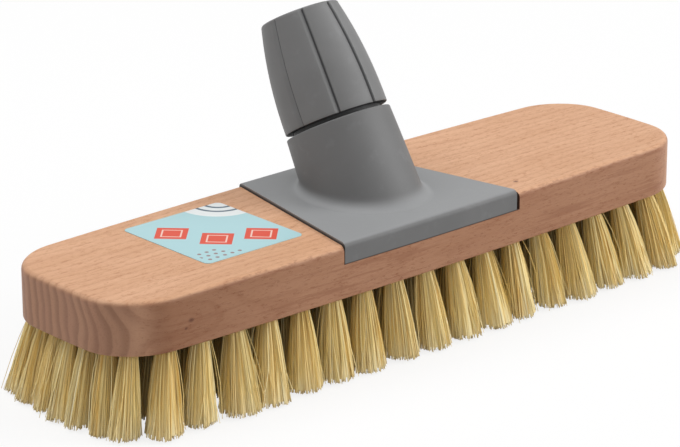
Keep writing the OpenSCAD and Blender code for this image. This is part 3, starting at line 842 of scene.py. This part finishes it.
count = int((NECK_TOP - LAND_TOP) / PITCH * THREAD_STEPS)
rings = [tube_ring(LAND_TOP, BORE_R), tube_ring(LAND_TOP, NOSE_R)]
rings += [thread_ring(LAND_TOP + (NECK_TOP - LAND_TOP) * k / count) for k in range(count + 1)]
for s, radius in (
    (NECK_TOP, NOSE_R),
    (NOSE_TOP - LAND_EDGE, NOSE_R),
    (NOSE_TOP, NOSE_R - LAND_EDGE),
    (NOSE_TOP, BORE_R),
    (LAND_TOP, BORE_R),
):
    rings.append(tube_ring(s, radius))
neck = through_rings("threaded_neck", rings)
smooth(neck, 40)
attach(neck, "brush_head")
neck.data.materials.append(holder.data.materials[0])


# Clamp nut
# A barrel-shaped nut of the same grey plastic with eight grip panels. The narrow groove between
# two panels has a steep wall on one side and a sloping chamfer on the other. Inside are the
# thread, a chamber for it, and a cone that presses the clamp ring.
NUT_LENGTH = 0.044
NUT_TOP = NUT_LOW + NUT_LENGTH
NUT_R = 0.02105
NUT_TIP_R = 0.0158
NUT_EDGE = 0.0012
NUT_FOOT = 0.0004
BARREL = 2.1
PANELS = 8
PANEL_TURN = 11.25
NUT_AROUND = 480
MOUTH_R = 0.018
MOUTH_TOP = 0.034
MOUTH_EDGE = 0.0003
INNER_THREAD_R = THREAD_R + 0.0005
CHAMBER_LOW = 0.0556
CHAMBER_TOP = 0.0567
CHAMBER_R = 0.01785
SNAP_TOP = 0.0572
SNAP_R = 0.0159
SEAT_R = 0.01665
CONE_LOW = 0.05855
CONE_LOW_R = 0.01555
CONE_TOP = 0.06815
CONE_TOP_R = 0.0144
OPENING_R = 0.0129
OPENING_EDGE = 0.0003
SLOT_DEEP = 0.00085
CHAMFER_W = 0.0019
WALL_W = 0.00055
SHOULDER_W = 0.0045
SHOULDER_DEEP = 0.00012
BARREL_STEPS = 32


def barrel(share):
    """Outer radius at a share of the nut's length."""
    return NUT_R - (NUT_R - NUT_TIP_R) * share ** BARREL


def sunk_under_barrel(a, radius):
    """How far the surface lies under the barrel: a chamfer on one side, a wall on the other."""
    pitch = 360 / PANELS
    off = (math.degrees(a) - PANEL_TURN + pitch / 2) % pitch - pitch / 2
    away = math.radians(off) * radius
    width = CHAMFER_W if away < 0 else WALL_W
    near = max(0.0, 1 - abs(away) / width)
    shoulder = SHOULDER_DEEP * max(0.0, 1 - abs(away) / SHOULDER_W) ** 2
    return shoulder + SLOT_DEEP * near


def nut_ring(s, radius, grooved=0.0, swing=0.0):
    """Ring of the nut square to its axis, grooved outside or threaded inside."""
    ring = []
    for a in (2 * math.pi * i / NUT_AROUND for i in range(NUT_AROUND)):
        grown = swing * math.cos(2 * math.pi * s / PITCH - a)
        ring.append(on_axis(s, radius - grooved * sunk_under_barrel(a, radius) + grown, a))
    return ring


share_end = 1 - NUT_EDGE / NUT_LENGTH
foot_share = NUT_FOOT / NUT_LENGTH
rings = [
    nut_ring(NUT_LOW, NUT_R - NUT_FOOT, 0.9),
    nut_ring(NUT_LOW + 0.3 * NUT_FOOT, NUT_R - 0.3 * NUT_FOOT, 1.0),
]
for k in range(BARREL_STEPS + 1):
    share = foot_share + (share_end - foot_share) * k / BARREL_STEPS
    rings.append(nut_ring(NUT_LOW + NUT_LENGTH * share, barrel(share), 1.0))
for a in (20, 40, 60, 75, 90):
    rise, draw_in = math.sin(math.radians(a)), 1 - math.cos(math.radians(a))
    s, radius = NUT_TOP - NUT_EDGE * (1 - rise), barrel(share_end) - NUT_EDGE * draw_in
    rings.append(nut_ring(s, radius, 1 - a / 110))
for s, radius in (
    (NUT_TOP, OPENING_R + OPENING_EDGE),
    (NUT_TOP - OPENING_EDGE, OPENING_R),
    (CONE_TOP, OPENING_R),
    (CONE_TOP, CONE_TOP_R),
    (CONE_LOW, CONE_LOW_R),
    (CONE_LOW, SEAT_R),
    (SNAP_TOP, SEAT_R),
    (SNAP_TOP, SNAP_R),
    (CHAMBER_TOP, SNAP_R),
    (CHAMBER_TOP, CHAMBER_R),
    (CHAMBER_LOW, CHAMBER_R),
):
    rings.append(nut_ring(s, radius))
count = int((CHAMBER_LOW - MOUTH_TOP) / PITCH * THREAD_STEPS)
for k in range(count + 1):
    s = CHAMBER_LOW + (MOUTH_TOP - CHAMBER_LOW) * k / count
    rings.append(nut_ring(s, INNER_THREAD_R, 0, THREAD_SWING))
rings.append(nut_ring(MOUTH_TOP, MOUTH_R))
rings.append(nut_ring(NUT_LOW + MOUTH_EDGE, MOUTH_R))
rings.append(nut_ring(NUT_LOW, MOUTH_R + MOUTH_EDGE))
rings.append(rings[0])
nut = through_rings("clamp_nut_shell", rings)
smooth(nut, 50)
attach(nut, "nut")
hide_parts("clamp_nut")

# Painted shade lies along the grooves, round the nut's foot and in the recess under it
nut_grey = GreyPlastic("nut_grey", paint(120, 120, 120), paint(114, 114, 114))
nut_grey.paint_recess_shade(RIM_AT, NUT_LOW)
turned = nut_grey.x.maths("ARCTAN2", nut_grey.behind, nut_grey.x) * (180 / math.pi) - PANEL_TURN
off = abs(((turned / (360 / PANELS)) + 0.5).part() - 0.5) * nut_grey.from_axis * (2 * math.pi / PANELS)
line = (1 - off.ease(0.16, 0.46)) * nut_grey.from_axis.ease(14.5, 14.8)
line = line * (1 - nut_grey.ahead.ease(1000 * NUT_TOP - 0.9, 1000 * NUT_TOP - 0.5))
foot = 1 - nut_grey.ahead.ease(1000 * NUT_LOW + 0.15, 1000 * NUT_LOW + 0.4)
# Painted shade: a dark line along each groove and round the foot's lower edge
nut_grey.mark(line * 0.72, paint(46, 46, 48))
nut_grey.mark(foot * 0.85, paint(26, 26, 28))
nut.data.materials.append(nut_grey.moulded(0.50))


# Clamp ring
# A split ring of lighter plastic inside the nut: a thin collar and a cone that the nut presses
# on the handle. It shows through the nut's top.
RING_BORE = 0.01255
RING_LOW = 0.0574
COLLAR_R = 0.0165
COLLAR_TOP = 0.0584
RING_CONE_R = 0.0154
RING_TIP_R = 0.01425
RING_TOP = 0.068
RING_SIDES = 120
SPLIT = 0.002
bpy.ops.mesh.primitive_circle_add(vertices=6, radius=1)
ring_piece = lone(bpy.context.object, "split_ring")
half_split = math.asin(SPLIT / 2 / RING_BORE)
profile = (
    (RING_LOW, RING_BORE),
    (RING_LOW, COLLAR_R),
    (COLLAR_TOP, COLLAR_R),
    (COLLAR_TOP, RING_CONE_R),
    (RING_TOP, RING_TIP_R),
    (RING_TOP, RING_BORE),
)
for vertex, (s, radius) in zip(ring_piece.data.vertices, profile):
    vertex.co = on_axis(s, radius, math.pi / 2 + half_split)
bpy.ops.object.mode_set(mode="EDIT")
bpy.ops.mesh.select_all(action="SELECT")
bpy.ops.mesh.spin(
    steps=RING_SIDES, angle=2 * math.pi - 2 * half_split, center=axis_foot, axis=axis_way,
)
bpy.ops.object.mode_set(mode="OBJECT")
seal(ring_piece)
smooth(ring_piece, 35)
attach(ring_piece, "clamp")
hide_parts("clamp_ring")
ring_grey = GreyPlastic("ring_grey", paint(168, 170, 171), paint(160, 162, 163))
ring_piece.data.materials.append(ring_grey.moulded(0.50))


# Screws and tuft wires
# Four countersunk steel screws hold the plate from below, and a flat steel wire holds each tuft
# in its hole. Both are the solids themselves, with a drawn and lightly brushed steel finish.
steel = Finish("bright_steel", Metallic=1.0)
x, y, z = steel.split(steel.place())
brushed = steel.noise(steel.joined(x * 0.4, y * 6.0, z * 2.0), 1.0, 3.0)
steel.feed(Base_Color=steel.blend(brushed, paint(176, 176, 174), paint(206, 206, 204)))
steel.feed(Roughness=(0.26 + brushed * 0.16))
steel.relief(brushed, 0.00001)
for name, node in nodes.items():
    if name == "holder_screws" or name.startswith("wires_"):
        node.data.materials.clear()
        node.data.materials.append(steel.material)


# Bristle tufts
# Each hole holds a tuft of stiff plant fibres, folded over its wire and cut level with the
# others. The fibres fan out from the hole, and the outer rows lean away from the block.
FIBRES = 210
FIBRE_R = 0.00023
FIBRE_CUTS = (0.16, 0.36, 0.62)
ROOT_R = 0.0024
ROOT_Z = FLOOR_TO_BLOCK + 0.004
CORE_SIDES = 30
CORE_CUTS = (0.12, 0.26, 0.42, 0.6, 0.8)
CORE_SHARE = 0.87
CORE_END = 0.0022
FAN = 0.84
LOCKS = 11
LOCK_PULL = 0.2
LOOSE_SHARE = 0.08
GOLDEN_TURN = 2.39996
LEAN_SIDE = 0.0070
LEAN_END = 0.0072
ROW_SPREAD = np.array([0.0072, 0.0068])
END_SPREAD = np.array([0.0064, 0.0050])
TIP_OFF = 0.0007
LONGEST_LIFT = 0.005
FLOOR_CLEAR = 0.00002


def unit_rod(name, sides, cuts):
    """A unit rod with levels cut through it: its points and its faces."""
    fill = "TRIFAN" if sides > 4 else "NGON"
    bpy.ops.mesh.primitive_cylinder_add(
        vertices=sides, radius=1, depth=1, location=(0, 0, 0.5), end_fill_type=fill
    )
    rod = lone(bpy.context.object, name)
    apply_place()
    bpy.ops.object.mode_set(mode="EDIT")
    for share in cuts:
        bpy.ops.mesh.select_all(action="SELECT")
        bpy.ops.mesh.bisect(plane_co=(0, 0, share), plane_no=(0, 0, 1))
    bpy.ops.object.mode_set(mode="OBJECT")
    points = np.array([vertex.co for vertex in rod.data.vertices])
    faces = [list(face.vertices) for face in rod.data.polygons]
    bpy.data.objects.remove(rod)
    return points, faces


fibre_points, fibre_faces = unit_rod("one_fibre", 3, FIBRE_CUTS)
core_points, core_faces = unit_rod("one_core", CORE_SIDES, CORE_CUTS)


def tuft_tip(x, y):
    """Middle of a tuft at the floor: the outer rows lean outwards."""
    return x * (1 + LEAN_END / END_ROW), y * (1 + LEAN_SIDE / OUTER_ROW)


def around(turn):
    return np.array([math.cos(turn), math.sin(turn)])


def wobble(draw, swing):
    return np.array([draw.gauss(0, swing), draw.gauss(0, swing)])


class Tufts:
    """The fibres of one row, gathered into a single mesh with their tones."""

    def __init__(self, inner, draw):
        self.inner, self.draw, self.count = inner, draw, 0
        self.points, self.faces, self.tones, self.shares, self.root_shades = [], [], [], [], []

    def add(self, path, tip_z, faces, tones, shares, t):
        """One rod whose points follow the path, from the root at t = 0 to the tip at t = 1."""
        self.points.append(np.column_stack([path, ROOT_Z + (tip_z - ROOT_Z) * t]))
        self.faces += [[corner + self.count for corner in face] for face in faces]
        self.tones.append(np.clip(tones, 0, 1))
        self.shares.append(shares)
        # The roots of the inner rows lie between their neighbours, and are painted with the shade they get
        # there
        self.root_shades.append(0.97 * (1 - t) ** 1.1 if self.inner else 0.35 * (1 - t) ** 5)
        self.count += len(path)

    def plant(self, x, y, spread):
        """One tuft, from its hole at x, y down to the floor."""
        draw = self.draw
        root = np.array([x, y])
        middle = np.array(tuft_tip(x, y)) + wobble(draw, TIP_OFF)
        spread = spread * draw.uniform(0.92, 1.12)
        tuft_tone = draw.uniform(-0.08, 0.08)
        # Fibres stick together in a few locks, which gives the tuft its furrows
        locks = []
        for _ in range(LOCKS):
            way = around(draw.uniform(0, 2 * math.pi))
            reach = math.sqrt(draw.random())
            locks.append((reach * way, draw.gauss(0, 0.06)))
        self.add_core(root, middle, spread, tuft_tone)
        for i in range(FIBRES):
            self.add_fibre(i, root, middle, spread, tuft_tone, locks)

    def add_core(self, root, middle, spread, tuft_tone):
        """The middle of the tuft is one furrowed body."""
        t = core_points[:, 2]
        turn = np.degrees(np.arctan2(core_points[:, 1], core_points[:, 0]))
        column = np.round(turn * CORE_SIDES / 360).astype(int) % CORE_SIDES
        furrow = np.array([self.draw.uniform(0.84, 1.0) for _ in range(CORE_SIDES)])[column]
        streak = np.array([self.draw.gauss(0, 0.10) for _ in range(CORE_SIDES)])[column]
        flat = core_points[:, :2] * furrow[:, None] * CORE_SHARE
        start = root + ROOT_R * flat
        path = start + (middle + flat * spread - start) * (t ** FAN)[:, None]
        self.add(path, CORE_END, core_faces, 0.42 + tuft_tone + streak, t * 0.97, t)

    def add_fibre(self, i, root, middle, spread, tuft_tone, locks):
        """One fibre: most follow the nearest lock, and a few loose ones stray and are thinner."""
        draw = self.draw
        loose = draw.random() < LOOSE_SHARE
        reach = draw.uniform(0.84, 1.03) if i % 5 else math.sqrt(draw.random()) * 0.9
        turn = i * GOLDEN_TURN + draw.uniform(-0.2, 0.2)
        at = around(turn) * reach * (draw.uniform(1.0, 1.14) if loose else 1.0)
        near, lock_tone = min(locks, key=lambda lock: float(np.sum((lock[0] - at) ** 2)))
        start = root + ROOT_R * min(reach, 1) * around(turn)
        pull = 0.0 if loose else LOCK_PULL
        tip = middle + spread * (at + pull * (near - at)) + wobble(draw, 0.0010 if loose else 0.0004)
        tip_z = abs(draw.gauss(0, 0.0005)) + 0.0009 * reach ** 4
        tip_z = tip_z + (abs(draw.gauss(0, 0.0015)) if loose else 0)
        bow = wobble(draw, 0.0010 if loose else 0.0004)
        t = fibre_points[:, 2]
        path = start + (tip - start) * (t ** FAN)[:, None] + bow * (t * (1 - t) * 4)[:, None]
        spin = draw.uniform(0, 2 * math.pi)
        turned = np.array([around(spin), [-math.sin(spin), math.cos(spin)]])
        thick = FIBRE_R * (0.7 if loose else draw.uniform(0.8, 1.3)) * (1 - 0.15 * t)
        path = path + fibre_points[:, :2] @ turned * thick[:, None]
        tones = np.full(len(t), 0.5 + tuft_tone + lock_tone + draw.gauss(0, 0.12))
        self.add(path, min(tip_z, LONGEST_LIFT) + FLOOR_CLEAR, fibre_faces, tones, t, t)

    def piece(self, name):
        mesh = bpy.data.meshes.new(name)
        mesh.from_pydata((np.concatenate(self.points) + np.array([0, AXIS_Y, 0])).tolist(), [], self.faces)
        for attribute_name, values in (("tone", self.tones), ("share", self.shares), ("buried", self.root_shades)):
            attribute = mesh.attributes.new(attribute_name, "FLOAT", "POINT")
            attribute.data.foreach_set("value", np.concatenate(values).astype(np.float32))
        made = bpy.data.objects.new(name, mesh)
        bpy.context.scene.collection.objects.link(made)
        lone(made, name)
        bpy.ops.object.shade_smooth_by_angle(angle=math.radians(50))
        return made


fibre_finish = Finish("straw_fibre", Specular_IOR_Level=0.5)
tone, share, buried = (
    fibre_finish.node("ShaderNodeAttribute", {"attribute_name": name}, (), "Fac")
    for name in ("tone", "share", "buried")
)
straw = {"stops": [
    (0.0, paint(236, 194, 110)),
    (0.35, paint(252, 222, 144)),
    (0.65, paint(255, 236, 172)),
    (1.0, paint(255, 248, 218)),
]}
hue = fibre_finish.node("ShaderNodeValToRGB", straw, [tone * 0.8 + share * 0.2])
hue = fibre_finish.blend(share.ease(0.7, 1.0) * 0.3, hue, paint(255, 242, 206))
# Painted shade on the roots of the inner rows
hue = fibre_finish.blend(buried, hue, paint(34, 26, 16))
hue = fibre_finish.blend(share.ease(0.975, 0.998) * 0.3, hue, paint(140, 106, 62))
fibre_finish.feed(Base_Color=hue)
fibre_finish.feed(Roughness=(0.55 - tone * 0.15))

draw = random.Random(7)
for row, places in tuft_places().items():
    gathered = Tufts(row.endswith("_inner") or row == "middle", draw)
    for x, y in places:
        gathered.plant(x, y, END_SPREAD if row.endswith("_end") else ROW_SPREAD)
    tufts = gathered.piece("tufts_" + row)
    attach(tufts, "brush_head")
    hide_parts("bristles_" + row)
    tufts.data.materials.append(fibre_finish.material)
